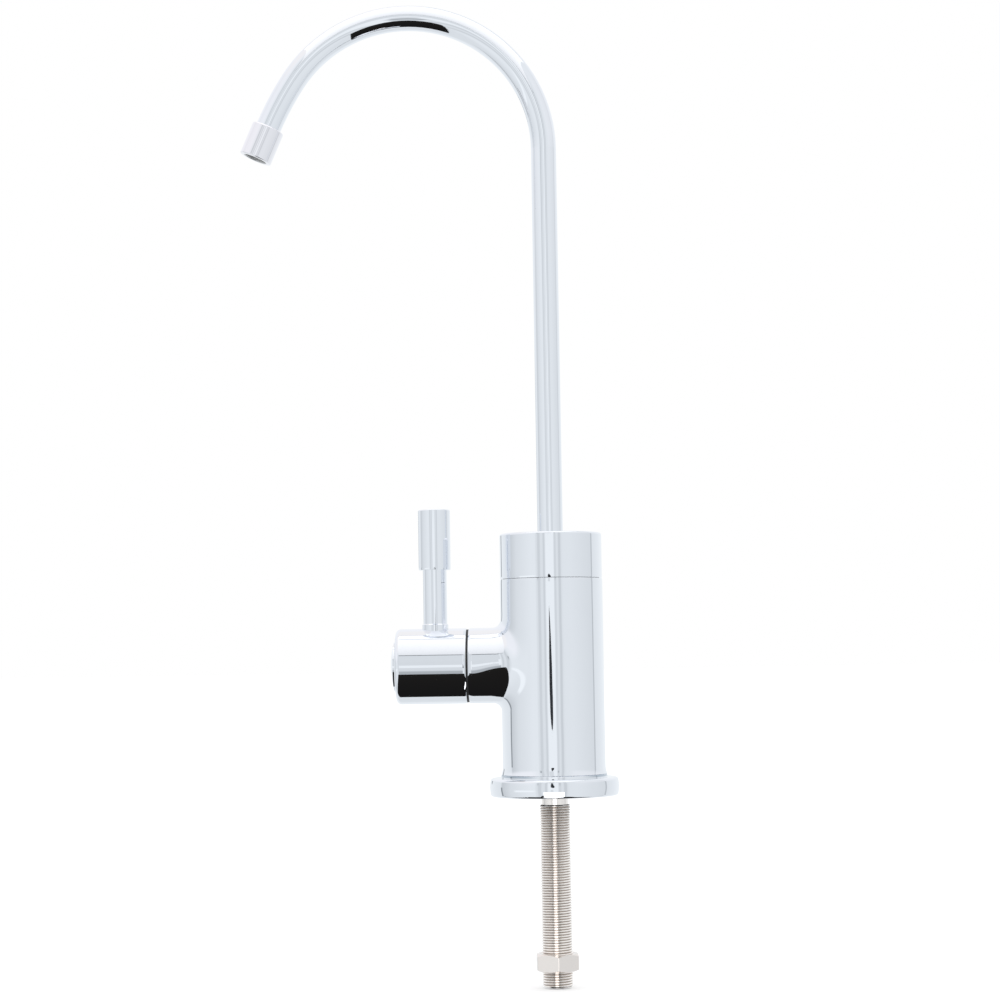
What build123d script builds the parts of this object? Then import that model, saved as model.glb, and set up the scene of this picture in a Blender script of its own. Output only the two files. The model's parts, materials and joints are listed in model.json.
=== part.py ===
from build123d import *
import os
from math import cos, radians, sin, tan

# A drinking water filter tap: a slim round body on a flange, a side valve with an
# upright lever, and a swivelling gooseneck spout. Lengths are in millimetres.
# The origin is the middle of the flange's underside, where the tap stands on the
# worktop. +Z is up, and both the lever and the spout's reach lie towards -X.

os.makedirs("parts", exist_ok=True)

# Fits and cuts
seat_fit = 0.05  # radial room round a piece that is pushed or screwed home
running_fit = 0.05  # radial room round a piece that turns or slides
face_play = 0.05  # room between faces that slide over each other
ring_squeeze = 0.03  # room left on each side of a seated sealing ring
overrun = 1.0  # how far a cut runs past the face that it opens
drill_room = 0.5  # how far a blind hole runs past what it holds

# Flange
flange_diameter = 50.4
flange_height = 7.1
flange_top_round = 1.3
flange_foot_round = 1.0
flange_rim_crown = 0.45
flange_floor = 1.3
step_diameter = 41.4
step_height = 1.3
step_round = 0.35
deck_seal_diameter = 43.0
deck_seal_thickness = 2.0
deck_seal_hole_diameter = 18.0

# Body casting
body_diameter = 40.2
body_above_lever = 33.4
body_foot_flare = (3.2, -0.6)  # length up the body and how far it is drawn in there, so less than 0 is out
body_top_roll = (1.5, 0.1)  # the same for an edge that polishing has rolled in
foot_spigot_diameter = 23.0
foot_ring_section = 1.8
foot_ring_depth = 1.4

# Side valve
lever_height = 50.9
stub_diameter = 29.5
stub_reach = 32.5
stub_blend = 3.2
stub_end_roll = (1.6, 0.2)
seat_distance = 6.0
pocket_diameter = 19.2
pocket_depth = 15.0
cartridge_thread_diameter = 20.8
pocket_mouth_chamfer = 0.8

# Waterways in the body
inlet_diameter = 8.0
inlet_offset = 2.0
seat_passage_diameter = 7.0
riser_diameter = 5.0
riser_distance = 9.6

# Threaded shank and its nut
shank_diameter = 12.0
shank_bore_diameter = 7.0
shank_reach = 73.65
shank_chamfer = 0.7
neck_diameter = 10.4
neck_drop = 3.0
neck_rise = 4.0
socket_grip = 15.0
shank_seal_thickness = 1.2
shank_seal_hole_diameter = 8.0
nut_across_flats = 16.0
nut_height = 6.7
nut_tail = 6.2
nut_turn = 34.0
nut_corner_round = 0.4
nut_chamfer_angle = 30.0
nut_face_diameter = 15.4
nut_mouth_chamfer = 0.6

# Spout hub and the joint that it swivels on
hub_diameter = 40.0
hub_height = 17.35
hub_top_round = 0.9
hub_foot_roll = (1.5, 0.1)
hub_rim_drop = 0.35
swivel_bore_diameter = 26.0
swivel_bore_depth = 21.6
swivel_mouth_chamfer = 0.8
spigot_length = 20.0
spigot_shank_diameter = 18.0
spigot_shank_length = 10.0
spigot_ring_heights = (7.2, 12.2)
spigot_ring_section = 2.0
spigot_ring_depth = 1.6
ring_side_room = 0.25
snap_ring_height = 2.6
snap_ring_thickness = 1.4
snap_ring_reach = 0.7
snap_ring_width = 2.1
snap_ring_gap = 5.0
snap_groove_room = 0.2
glide_washer_thickness = 0.5
glide_washer_width = 4.6
glide_washer_inset = 1.2

# Gooseneck
tube_diameter = 10.0
tube_wall = 1.0
tube_socket_depth = 11.0
bend_height = 255.4
bend_radius = 54.3
bend_sweep = 146.6
run_out_radius = 122.25
run_out_sweep = 10.0
tube_tail = 5.9

# Outlet at the end of the gooseneck
tip_diameter = 13.0
tip_length = 13.5
tip_shoulder_round = 0.7
tip_rim_round = 0.4
tip_lip = 1.3
outlet_diameter = 8.7
outlet_chamfer = 0.4
outlet_seal_thickness = 1.0
outlet_seal_width = 1.5
screen_thickness = 0.5
screen_hole_diameter = 0.9
screen_hole_pitch = 1.35
screen_hole_rows = 5
insert_hole_diameter = 1.1
insert_hole_pitch = 1.6
insert_hole_rows = 5
insert_skirt = 0.8

# Handle barrel
barrel_gap = 0.9
barrel_length = 27.7
barrel_end_round = 2.0
barrel_mouth_roll = (1.0, 0.15)
barrel_cavity_diameter = 24.4
barrel_cavity_depth = 6.6
clip_cavity_diameter = 16.4
clip_cavity_depth = 4.0
spline_length = 11.5
screw_web = 1.3
cap_seat_diameter = 19.2
cap_seat_depth = 3.0
glide_ring_thickness = 0.8
glide_ring_width = 2.4

# End cap
cap_rise = 2.2
cap_edge_rise = 0.9
cap_skirt = 2.6
cap_skirt_wall = 1.2
cap_crown = 1.4

# Lever
lever_distance = 45.65
foot_diameter = 10.2
foot_seat = 13.7
foot_top = 16.6
foot_chamfer = 0.35
stem_diameter = 9.3
stem_top = 37.75
lever_screw_diameter = 6.0
lever_screw_length = 4.6
grip_screw_diameter = 6.0
grip_screw_length = 10.0
grip_diameter = 12.6
grip_length = 23.65
grip_top_round = 0.45
grip_foot_roll = (1.2, 0.1)

# Valve cartridge, measured outwards from its seat in the body
cage_diameter = 17.0
cage_end = 1.0
cage_bore_diameter = 15.1
disc_diameter = 14.9
disc_thickness = 3.0
disc_window_diameter = 7.8
disc_window_width = 3.8
disc_window_sweep = 24.0
seat_seal_width = 3.3
seat_seal_thickness = 2.6
drive_slot_width = 3.0
drive_slot_depth = 1.4
drive_length = 13.0
drive_height = 3.2
cage_window_width = 5.0
cage_window_count = 4
thrust_flange_thickness = 1.6
thrust_washer_thickness = 0.6
spindle_diameter = 10.9
spindle_ring_places = (6.0, 10.6)
spindle_ring_section = 1.9
spindle_ring_depth = 1.5
bush_flange_diameter = 23.6
bush_flange_thickness = 1.2
bush_hex_across_flats = 20.0
bush_hex_length = 4.0
bush_neck_diameter = 15.0
bush_neck_length = 3.8
bush_ring_section = 1.4
clip_thickness = 0.8
clip_groove_depth = 0.9
clip_width = 1.9
clip_opening = 60.0
spindle_tail = 0.9
spline_diameter = 8.0
spline_tooth_depth = 0.5
spline_teeth = 20
spline_lead = 0.4
screw_diameter = 4.0
screw_length = 9.0
screw_head_diameter = 7.0
screw_head_height = 2.2
screw_socket_across_flats = 2.5
screw_socket_depth = 1.4

# Heights and distances worked out from the sizes above
body_radius = body_diameter / 2
body_foot = flange_height + step_height
body_top = lever_height + body_above_lever
hub_foot = body_top + glide_washer_thickness + face_play
hub_top = hub_foot + hub_height
glide_outer = body_radius - glide_washer_inset
spigot_foot = hub_foot - spigot_length
foot_spigot_end = deck_seal_thickness + flange_floor
shank_top = neck_rise + socket_grip
socket_end = shank_top + shank_seal_thickness
nut_drop = shank_reach - nut_tail - nut_height
swivel_radius = swivel_bore_diameter / 2
tube_radius = tube_diameter / 2
tube_foot = hub_foot - tube_socket_depth
barrel_radius = stub_diameter / 2
barrel_start = stub_reach + barrel_gap
barrel_end = barrel_start + barrel_length
clip_cavity_end = barrel_start + barrel_cavity_depth + clip_cavity_depth
spline_end = clip_cavity_end + spline_length
cage_radius = cage_diameter / 2
cage_bore_radius = cage_bore_diameter / 2
spindle_radius = spindle_diameter / 2
fixed_disc_start = seat_distance + seat_seal_thickness
moving_disc_start = fixed_disc_start + disc_thickness + face_play
moving_disc_end = moving_disc_start + disc_thickness
drive_start = moving_disc_end - drive_slot_depth + face_play
thrust_start = drive_start + drive_height
thrust_end = thrust_start + thrust_flange_thickness
shoulder = thrust_end + thrust_washer_thickness + face_play
bush_flange_end = stub_reach + bush_flange_thickness
bush_hex_end = bush_flange_end + bush_hex_length
bush_end = bush_hex_end + bush_neck_length
clip_start = bush_end + face_play
spindle_end = clip_start + clip_thickness + spindle_tail
screw_floor = spline_end + screw_web
cap_floor = barrel_end - cap_seat_depth

# The valve's own planes and axis: distances run outwards along -X, from the middle of the body
valve_axis = Axis((0, 0, lever_height), (-1, 0, 0))
valve_side = Plane(origin=(0, 0, lever_height), x_dir=(-1, 0, 0), z_dir=(0, 1, 0))
valve_end = Plane(origin=(0, 0, lever_height), x_dir=(0, 0, 1), z_dir=(-1, 0, 0))
lever_axis = Axis((-lever_distance, 0, lever_height), (0, 0, 1))
lever_side = Plane(origin=(-lever_distance, 0, lever_height), x_dir=(1, 0, 0), z_dir=(0, -1, 0))
lever_up = Plane(origin=(-lever_distance, 0, lever_height))

# Where the gooseneck's run-out ends, which is where the outlet's shoulder sits
outlet_angle = bend_sweep + run_out_sweep
bend_end_x = -bend_radius + bend_radius * cos(radians(bend_sweep))
bend_end_z = bend_height + bend_radius * sin(radians(bend_sweep))
run_out_x = run_out_radius * (cos(radians(outlet_angle)) - cos(radians(bend_sweep)))
run_out_z = run_out_radius * (sin(radians(outlet_angle)) - sin(radians(bend_sweep)))
shoulder_point = (bend_end_x + run_out_x, 0, bend_end_z + run_out_z)
flow = (-sin(radians(outlet_angle)), 0, cos(radians(outlet_angle)))
outlet_axis = Axis(shoulder_point, flow)
outlet_side = Plane(origin=shoulder_point, x_dir=flow, z_dir=(0, 1, 0))
outlet_end = Plane(origin=shoulder_point, x_dir=(0, 1, 0), z_dir=flow)
insert_end = tip_length - tip_lip
screen_start = insert_end - screen_thickness
outlet_seal_end = tube_tail + outlet_seal_thickness


def save(piece, name):
    piece.part.label = name
    export_step(piece.part, f"parts/{name}.step")


def washer(plane, inner_radius, outer_radius, low, thickness):
    """A flat ring that lies from low to low + thickness above the plane."""
    with BuildPart() as piece:
        with BuildSketch(plane.offset(low)):
            Circle(outer_radius)
            Circle(inner_radius, mode=Mode.SUBTRACT)
        extrude(amount=thickness)
    return piece


def sealing_ring(planes, inner_radius, outer_radius):
    """Round rings seated between two walls, one on each plane."""
    section = (outer_radius - inner_radius) / 2 - ring_squeeze
    with BuildPart() as piece:
        for plane in planes:
            with Locations(plane.location):
                Torus((outer_radius + inner_radius) / 2, section)
    return piece


def drilling(plane, radius, low, high):
    """A round bar from low to high above the plane, for a bore to be cut with."""
    with BuildPart() as piece:
        with BuildSketch(plane.offset(low)):
            Circle(radius)
        extrude(amount=high - low)
    return piece.part


def polished_bar(plane, radius, low, high, low_roll=None, high_roll=None):
    """A round bar from low to high above the plane. A roll (length, inset) draws an end's edge in."""
    low_length, low_inset = low_roll or (0, 0)
    high_length, high_inset = high_roll or (0, 0)
    with BuildPart() as piece:
        with BuildSketch(Plane.XZ):
            with BuildLine():
                Polyline((radius - high_inset, high), (0, high), (0, low), (radius - low_inset, low))
                Line((radius, low + low_length), (radius, high - high_length))
                if low_roll:
                    TangentArc((radius, low + low_length), (radius - low_inset, low), tangent=(0, -1))
                if high_roll:
                    TangentArc((radius, high - high_length), (radius - high_inset, high), tangent=(0, 1))
            make_face()
        revolve(axis=Axis.Z)
    return piece.part.moved(plane.location)


def groove(plane, bottom_radius, outer_radius, middle, width):
    """A ring of material about the plane's axis, for a groove to be cut with."""
    return washer(plane, bottom_radius, outer_radius, middle - width / 2, width).part


def spline_outline(tip_radius, teeth):
    """The toothed outline of the spindle's end: each tooth rises from a root to a flat tip."""
    root_radius = tip_radius - spline_tooth_depth
    pitch = 360 / teeth
    corners = []
    for tooth in range(teeth):
        for share, radius in ((0.05, root_radius), (0.3, tip_radius), (0.7, tip_radius), (0.95, root_radius)):
            angle = radians((tooth + share) * pitch)
            corners.append((radius * cos(angle), radius * sin(angle)))
    with BuildSketch() as outline:
        with BuildLine():
            Polyline(*corners, close=True)
        make_face()
    return outline.sketch


# Flange: a round plate with a crowned rim, a low step under the body, a floor that the
# body clamps, and a recess below for the rubber seal
with BuildPart() as base_flange:
    flange_radius = flange_diameter / 2
    rim_edge = flange_radius - flange_rim_crown
    with BuildSketch(Plane.XZ):
        with BuildLine():
            Polyline((rim_edge, flange_height), (0, flange_height), (0, 0), (rim_edge, 0))
            ThreePointArc((rim_edge, 0), (flange_radius, flange_height / 2), (rim_edge, flange_height))
        make_face()
    revolve(axis=Axis.Z)
    fillet(base_flange.edges().sort_by(Axis.Z)[-1], flange_top_round)
    fillet(base_flange.edges().sort_by(Axis.Z)[0], flange_foot_round)
    with BuildSketch(Plane.XY.offset(flange_height)):
        Circle(step_diameter / 2)
    extrude(amount=step_height)
    fillet(base_flange.edges().sort_by(Axis.Z)[-1], step_round)
    with BuildSketch():
        Circle(deck_seal_diameter / 2 + seat_fit)
    extrude(amount=deck_seal_thickness, mode=Mode.SUBTRACT)
    with BuildSketch():
        Circle(shank_diameter / 2 + seat_fit)
    extrude(amount=body_foot, mode=Mode.SUBTRACT)
    with BuildSketch(Plane.XY.offset(foot_spigot_end)):
        Circle(foot_spigot_diameter / 2 + seat_fit)
    extrude(amount=body_foot, mode=Mode.SUBTRACT)
save(base_flange, "base_flange")

base_seal = washer(Plane.XY, deck_seal_hole_diameter / 2, deck_seal_diameter / 2, 0, deck_seal_thickness)
save(base_seal, "base_seal")

# Body casting: an upright round column with the valve's stub blended into its side
foot_ring_plane = Plane.XY.offset((foot_spigot_end + body_foot) / 2)
foot_ring_bottom = foot_spigot_diameter / 2 - foot_ring_depth
snap_groove_middle = spigot_foot + snap_ring_height
with BuildPart() as valve_body:
    add(polished_bar(Plane.XY, body_radius, body_foot, body_top, body_foot_flare, body_top_roll))
    add(polished_bar(valve_end, barrel_radius, 0, stub_reach, high_roll=stub_end_roll))
    stub_meeting = valve_body.edges().filter_by(GeomType.CIRCLE, reverse=True)
    fillet(stub_meeting.filter_by(GeomType.LINE, reverse=True), stub_blend)
    # Spigot that centres the flange, with a groove for its friction ring
    with BuildSketch(Plane.XY.offset(foot_spigot_end)):
        Circle(foot_spigot_diameter / 2)
    extrude(amount=body_foot - foot_spigot_end)
    add(groove(foot_ring_plane, foot_ring_bottom, body_radius, 0, foot_ring_section + ring_side_room),
        mode=Mode.SUBTRACT)
    # Socket for the threaded shank and the inlet way up to the valve seat
    add(drilling(Plane.XY, shank_diameter / 2 + seat_fit, 0, socket_end), mode=Mode.SUBTRACT)
    inlet_plane = Plane.XY.shift_origin((inlet_offset, 0, 0))
    inlet_top = lever_height + seat_passage_diameter / 2 + drill_room
    add(drilling(inlet_plane, inlet_diameter / 2, socket_end - overrun, inlet_top), mode=Mode.SUBTRACT)
    add(drilling(valve_end, seat_passage_diameter / 2, -inlet_offset, seat_distance + overrun),
        mode=Mode.SUBTRACT)
    # Pocket for the cartridge, wider at its mouth where the cartridge screws in
    pocket_end = seat_distance + pocket_depth
    with BuildSketch(valve_side):
        with BuildLine():
            Polyline(
                (seat_distance, 0),
                (seat_distance, pocket_diameter / 2),
                (pocket_end, pocket_diameter / 2),
                (pocket_end, cartridge_thread_diameter / 2),
                (stub_reach - pocket_mouth_chamfer, cartridge_thread_diameter / 2),
                (stub_reach, cartridge_thread_diameter / 2 + pocket_mouth_chamfer),
                (stub_reach + overrun, cartridge_thread_diameter / 2 + pocket_mouth_chamfer),
                (stub_reach + overrun, 0),
                close=True,
            )
        make_face()
    revolve(axis=valve_axis, mode=Mode.SUBTRACT)
    # Bore that the spout's spigot swivels in, its snap ring groove and the riser that feeds it
    swivel_floor = body_top - swivel_bore_depth
    with BuildSketch(Plane.XZ):
        with BuildLine():
            Polyline(
                (0, swivel_floor),
                (swivel_radius, swivel_floor),
                (swivel_radius, body_top - swivel_mouth_chamfer),
                (swivel_radius + swivel_mouth_chamfer, body_top),
                (swivel_radius + swivel_mouth_chamfer, body_top + overrun),
                (0, body_top + overrun),
                close=True,
            )
        make_face()
    revolve(axis=Axis.Z, mode=Mode.SUBTRACT)
    snap_groove_radius = swivel_radius + snap_ring_reach + snap_groove_room
    snap_groove_width = snap_ring_thickness + 2 * snap_groove_room
    add(groove(Plane.XY, swivel_radius - overrun, snap_groove_radius, snap_groove_middle, snap_groove_width),
        mode=Mode.SUBTRACT)
    riser_plane = Plane.XY.shift_origin((-riser_distance, 0, 0))
    add(drilling(riser_plane, riser_diameter / 2, lever_height, swivel_floor + overrun), mode=Mode.SUBTRACT)
save(valve_body, "valve_body")

flange_friction_ring = sealing_ring([foot_ring_plane], foot_ring_bottom, foot_spigot_diameter / 2 + seat_fit)
save(flange_friction_ring, "flange_friction_ring")

# Threaded shank: a hollow bar with a thinner neck where it leaves the flange
with BuildPart() as threaded_shank:
    shank_radius = shank_diameter / 2
    with BuildSketch(Plane.XZ):
        with BuildLine():
            Polyline(
                (shank_bore_diameter / 2, -shank_reach),
                (shank_radius - shank_chamfer, -shank_reach),
                (shank_radius, -shank_reach + shank_chamfer),
                (shank_radius, -neck_drop - shank_chamfer),
                (neck_diameter / 2, -neck_drop),
                (neck_diameter / 2, neck_rise - shank_chamfer),
                (shank_radius, neck_rise),
                (shank_radius, shank_top - shank_chamfer),
                (shank_radius - shank_chamfer, shank_top),
                (shank_bore_diameter / 2, shank_top),
                close=True,
            )
        make_face()
    revolve(axis=Axis.Z)
save(threaded_shank, "threaded_shank")

shank_seal = washer(
    Plane.XY, shank_seal_hole_diameter / 2, shank_radius - ring_squeeze, shank_top, shank_seal_thickness
)
save(shank_seal, "shank_seal")

# Clamping nut: a hexagon with both ends turned back
with BuildPart() as shank_nut:
    nut_corner = nut_across_flats / 2 / cos(radians(30))
    nut_end_rise = (nut_corner - nut_face_diameter / 2) * tan(radians(nut_chamfer_angle))
    nut_foot = -nut_drop - nut_height
    nut_bore = shank_diameter / 2 + running_fit
    with BuildSketch(Plane.XY.offset(nut_foot)) as nut_outline:
        RegularPolygon(nut_across_flats / 2, 6, major_radius=False, rotation=nut_turn)
        fillet(nut_outline.vertices(), nut_corner_round)
    extrude(amount=nut_height)
    with BuildSketch(Plane.XZ):
        with BuildLine():
            Polyline(
                (nut_bore, nut_foot + nut_mouth_chamfer),
                (nut_bore + nut_mouth_chamfer, nut_foot),
                (nut_face_diameter / 2, nut_foot),
                (nut_corner, nut_foot + nut_end_rise),
                (nut_corner, -nut_drop - nut_end_rise),
                (nut_face_diameter / 2, -nut_drop),
                (nut_bore + nut_mouth_chamfer, -nut_drop),
                (nut_bore, -nut_drop - nut_mouth_chamfer),
                close=True,
            )
        make_face()
    revolve(axis=Axis.Z, mode=Mode.INTERSECT)
save(shank_nut, "shank_nut")

# Spout hub: the round cap that turns on top of the body
with BuildPart() as spout_hub:
    add(polished_bar(Plane.XY, hub_diameter / 2, hub_foot - hub_rim_drop, hub_top, hub_foot_roll))
    fillet(spout_hub.edges().sort_by(Axis.Z)[-1], hub_top_round)
    add(drilling(Plane.XY, glide_outer + running_fit, body_top, hub_foot), mode=Mode.SUBTRACT)
    spigot_shank_radius = spigot_shank_diameter / 2
    shank_hole_end = hub_foot + spigot_shank_length + drill_room
    add(drilling(Plane.XY, spigot_shank_radius + seat_fit, hub_foot, shank_hole_end), mode=Mode.SUBTRACT)
    add(drilling(Plane.XY, tube_radius + seat_fit, hub_foot, hub_top), mode=Mode.SUBTRACT)
save(spout_hub, "spout_hub")

# Spigot: carries the tube, holds the hub and swivels in the body on two sealing rings
with BuildPart() as spout_spigot:
    spigot_radius = swivel_radius - running_fit
    spigot_ring_bottom = swivel_radius - spigot_ring_depth
    snap_groove_bottom = swivel_radius + snap_ring_reach - snap_ring_width
    with BuildSketch(Plane.XY.offset(spigot_foot)):
        Circle(spigot_radius)
    extrude(amount=spigot_length)
    chamfer(spout_spigot.edges().sort_by(Axis.Z)[0], swivel_mouth_chamfer)
    with BuildSketch(Plane.XY.offset(hub_foot)):
        Circle(spigot_shank_radius)
    extrude(amount=spigot_shank_length)
    ring_width = spigot_ring_section + ring_side_room
    for height in spigot_ring_heights:
        ring_groove = groove(Plane.XY, spigot_ring_bottom, body_radius, spigot_foot + height, ring_width)
        add(ring_groove, mode=Mode.SUBTRACT)
    snap_width = snap_ring_thickness + snap_groove_room
    snap_groove = groove(
        Plane.XY, snap_groove_bottom - snap_groove_room, body_radius, snap_groove_middle, snap_width
    )
    add(snap_groove, mode=Mode.SUBTRACT)
    add(drilling(Plane.XY, tube_radius - tube_wall, spigot_foot, hub_foot), mode=Mode.SUBTRACT)
    add(drilling(Plane.XY, tube_radius + seat_fit, tube_foot, hub_top), mode=Mode.SUBTRACT)
save(spout_spigot, "spout_spigot")

ring_planes = [Plane.XY.offset(spigot_foot + height) for height in spigot_ring_heights]
spout_rings = sealing_ring(ring_planes, spigot_ring_bottom, swivel_radius)
save(spout_rings, "spout_sealing_rings")

# Split ring that springs into the body's groove and keeps the spout from lifting out
with BuildPart() as snap_ring:
    snap_ring_radius = swivel_radius + snap_ring_reach
    with BuildSketch(Plane.XY.offset(snap_groove_middle - snap_ring_thickness / 2)):
        Circle(snap_ring_radius)
        Circle(snap_ring_radius - snap_ring_width, mode=Mode.SUBTRACT)
        with Locations((snap_ring_radius, 0)):
            Rectangle(snap_ring_radius, snap_ring_gap, mode=Mode.SUBTRACT)
    extrude(amount=snap_ring_thickness)
save(snap_ring, "spout_snap_ring")

glide_inner = glide_outer - glide_washer_width
glide_washer = washer(Plane.XY, glide_inner, glide_outer, body_top, glide_washer_thickness)
save(glide_washer, "spout_glide_washer")

# Gooseneck: a straight riser, one wide bend and a gentler run-out into the outlet
with BuildPart() as spout_tube:
    with BuildLine(Plane.XZ):
        riser = Line((0, tube_foot), (0, bend_height))
        bend = JernArc(riser @ 1, riser % 1, bend_radius, bend_sweep)
        run_out = JernArc(bend @ 1, bend % 1, run_out_radius, run_out_sweep)
        Line(run_out @ 1, run_out @ 1 + (run_out % 1) * tube_tail)
    with BuildSketch(Plane.XY.offset(tube_foot)):
        Circle(tube_radius)
        Circle(tube_radius - tube_wall, mode=Mode.SUBTRACT)
    sweep()
save(spout_tube, "spout_tube")

# Outlet housing, with a turned-in lip that keeps the insert from falling out
with BuildPart() as spout_tip:
    with BuildSketch(outlet_side):
        with BuildLine():
            Polyline(
                (0, tube_radius + seat_fit),
                (insert_end, tube_radius + seat_fit),
                (insert_end, outlet_diameter / 2),
                (tip_length - outlet_chamfer, outlet_diameter / 2),
                (tip_length, outlet_diameter / 2 + outlet_chamfer),
                (tip_length, tip_diameter / 2),
                (0, tip_diameter / 2),
                close=True,
            )
        make_face()
    revolve(axis=outlet_axis)
    rims = spout_tip.edges().filter_by(GeomType.CIRCLE).group_by(SortBy.RADIUS)[-1].sort_by(outlet_axis)
    fillet(rims[0], tip_shoulder_round)
    rims = spout_tip.edges().filter_by(GeomType.CIRCLE).group_by(SortBy.RADIUS)[-1].sort_by(outlet_axis)
    fillet(rims[-1], tip_rim_round)
save(spout_tip, "spout_tip")

outlet_seal_hole = tube_radius - outlet_seal_width
outlet_seal = washer(outlet_end, outlet_seal_hole, tube_radius, tube_tail, outlet_seal_thickness)
save(outlet_seal, "outlet_seal")


def drilled_plate(low, thickness, hole_diameter, pitch, rows, field_radius):
    """A round plate across the outlet, with the holes of a honeycomb grid that lie in its field."""
    places = HexLocations(pitch / 2, rows, rows, major_radius=False).locations
    inside = [place for place in places if place.position.length < field_radius - hole_diameter / 2]
    with BuildPart() as plate:
        with BuildSketch(outlet_end.offset(low)):
            Circle(tube_radius)
            with Locations(*inside):
                Circle(hole_diameter / 2, mode=Mode.SUBTRACT)
        extrude(amount=thickness)
    return plate


# Flow straightener: a plug of narrow channels that lets the water leave in a clear stream
flow_straightener = drilled_plate(
    outlet_seal_end,
    screen_start - outlet_seal_end,
    insert_hole_diameter,
    insert_hole_pitch,
    insert_hole_rows,
    tube_radius - insert_skirt,
)
save(flow_straightener, "flow_straightener")

# Screen: a thin drilled plate that covers the straightener's lower end
outlet_screen = drilled_plate(
    screen_start,
    screen_thickness,
    screen_hole_diameter,
    screen_hole_pitch,
    screen_hole_rows,
    outlet_diameter / 2,
)
save(outlet_screen, "outlet_screen")

# Cartridge bush: screws into the stub, caged at its inner end round the ceramic discs
with BuildPart() as cartridge_bush:
    cage_start = seat_distance + cage_end
    bush_bore = spindle_radius + running_fit
    thread_radius = cartridge_thread_diameter / 2 - seat_fit
    with BuildSketch(valve_side):
        with BuildLine():
            Polyline(
                (cage_start, cage_bore_radius),
                (shoulder, cage_bore_radius),
                (shoulder, bush_bore),
                (bush_end, bush_bore),
                (bush_end, bush_neck_diameter / 2),
                (bush_flange_end, bush_neck_diameter / 2),
                (bush_flange_end, bush_flange_diameter / 2),
                (stub_reach, bush_flange_diameter / 2),
                (stub_reach, thread_radius - bush_ring_section),
                (stub_reach - bush_ring_section - ring_side_room, thread_radius - bush_ring_section),
                (stub_reach - bush_ring_section - ring_side_room, thread_radius),
                (pocket_end + running_fit, thread_radius),
                (pocket_end + running_fit, cage_radius),
                (cage_start, cage_radius),
                close=True,
            )
        make_face()
    revolve(axis=valve_axis)
    with BuildSketch(valve_end.offset(bush_flange_end)):
        RegularPolygon(bush_hex_across_flats / 2, 6, major_radius=False)
        Circle(bush_bore, mode=Mode.SUBTRACT)
    extrude(amount=bush_hex_length)
    window_length = thrust_start - moving_disc_end
    with BuildSketch(valve_end.offset(moving_disc_end)):
        with PolarLocations(cage_radius, cage_window_count, start_angle=45):
            Rectangle(cage_diameter - cage_bore_diameter + overrun, cage_window_width)
    extrude(amount=window_length, mode=Mode.SUBTRACT)
    # Slots at the cage's end that keep the fixed disc from turning
    with BuildSketch(valve_end.offset(cage_start)):
        with PolarLocations(cage_radius, 2, start_angle=90):
            Rectangle(cage_diameter - cage_bore_diameter + overrun, drive_slot_width + 2 * seat_fit)
    extrude(amount=fixed_disc_start + disc_thickness - cage_start, mode=Mode.SUBTRACT)
save(cartridge_bush, "cartridge_bush")

cartridge_ring = sealing_ring(
    [valve_end.offset(stub_reach - (bush_ring_section + ring_side_room) / 2)],
    thread_radius - bush_ring_section,
    cartridge_thread_diameter / 2,
)
save(cartridge_ring, "cartridge_sealing_ring")

seal_outer = cage_bore_radius - ring_squeeze
seat_seal = washer(valve_end, seal_outer - seat_seal_width, seal_outer, seat_distance, seat_seal_thickness)
save(seat_seal, "seat_seal")

# Ceramic discs: each has two windows, which line up a quarter turn from rest
window_centre = disc_window_diameter / 2
with BuildPart() as fixed_disc:
    with BuildSketch(valve_end.offset(fixed_disc_start)):
        Circle(disc_diameter / 2)
        with PolarLocations(disc_diameter / 2, 2, start_angle=90):
            Rectangle(cage_diameter - cage_bore_diameter, drive_slot_width)
        with PolarLocations(0, 2):
            SlotArc(CenterArc((0, 0), window_centre, -disc_window_sweep / 2, disc_window_sweep),
                    disc_window_width, mode=Mode.SUBTRACT)
    extrude(amount=disc_thickness)
save(fixed_disc, "fixed_ceramic_disc")

with BuildPart() as moving_disc:
    with BuildSketch(valve_end.offset(moving_disc_start)):
        Circle(disc_diameter / 2)
        with PolarLocations(0, 2, start_angle=90):
            SlotArc(CenterArc((0, 0), window_centre, -disc_window_sweep / 2, disc_window_sweep),
                    disc_window_width, mode=Mode.SUBTRACT)
    extrude(amount=disc_thickness)
    with BuildSketch(valve_end.offset(moving_disc_end)):
        Rectangle(disc_diameter, drive_slot_width)
    extrude(amount=-drive_slot_depth, mode=Mode.SUBTRACT)
save(moving_disc, "moving_ceramic_disc")

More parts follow.
